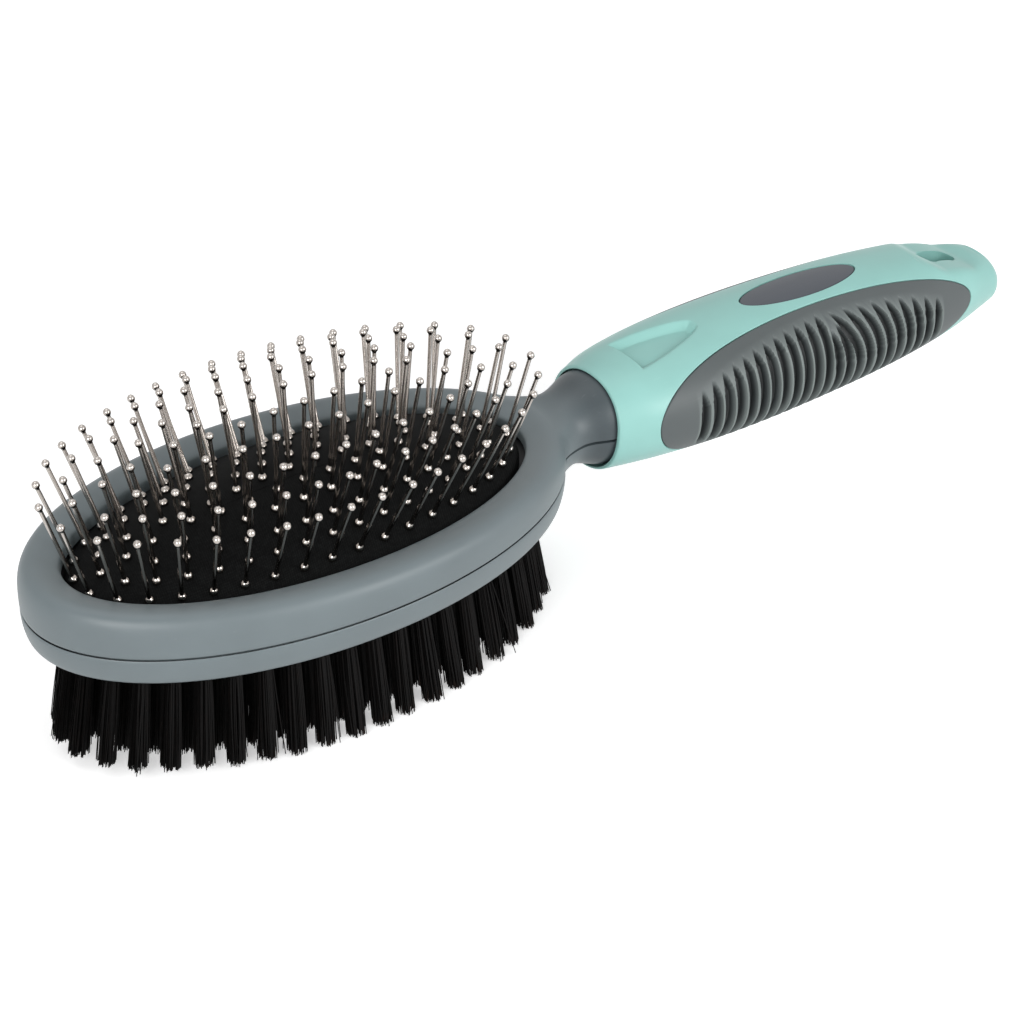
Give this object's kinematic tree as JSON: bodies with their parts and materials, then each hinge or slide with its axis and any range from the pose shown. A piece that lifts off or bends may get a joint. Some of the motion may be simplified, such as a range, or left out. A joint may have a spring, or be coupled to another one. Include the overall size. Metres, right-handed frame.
{
  "type": "double-sided grooming brush",
  "caption": "Oval two-sided grooming brush: steel ball-tipped pins on an air cushion, trimmed bristle tufts behind, soft-grip handle with a hang slot.",
  "frame": {"origin": "middle of the brush's box, at the level of the trimmed bristle ends", "axes": "+X from the head's tip to the handle's tail, +Z out of the pin side, bristles towards -Z"},
  "size_m": [0.2346, 0.0666, 0.0613],
  "materials": {
    "shell": "satin blue-grey moulding",
    "inner": "plain dark moulding",
    "bed": "plain black moulding",
    "handle": "satin mint green moulding",
    "grip": "matt dark grey soft-touch",
    "badge": "satin grey",
    "cushion": "black, finely woven face",
    "pins": "bright nickel plated steel wire",
    "bristles": "black nylon filament"
  },
  "bodies": {
    "root": {"frame_upper": "shell", "frame_lower": "shell", "cushion_tray": "inner", "bristle_bed": "bed", "handle_body": "handle", "grip_left": "grip", "grip_right": "grip", "badge": "badge", "tufts_ring_1": "bristles", "tufts_ring_2": "bristles", "tufts_ring_3": "bristles", "tufts_ring_4": "bristles", "tufts_ring_5": "bristles"},
    "pin_field": {"pin_cushion": "cushion", "pins_ring_1": "pins", "pins_ring_2": "pins", "pins_ring_3": "pins", "pins_ring_4": "pins", "pins_ring_5": "pins"}
  },
  "joints": [
    {"name": "cushion_press", "type": "slide", "parent": "root", "child": "pin_field", "axis": [0, 0, -1], "range_m": [0, 0.0015], "stiffness_N_per_m": 2000, "deforming": ["pin_cushion"]}
  ]
}
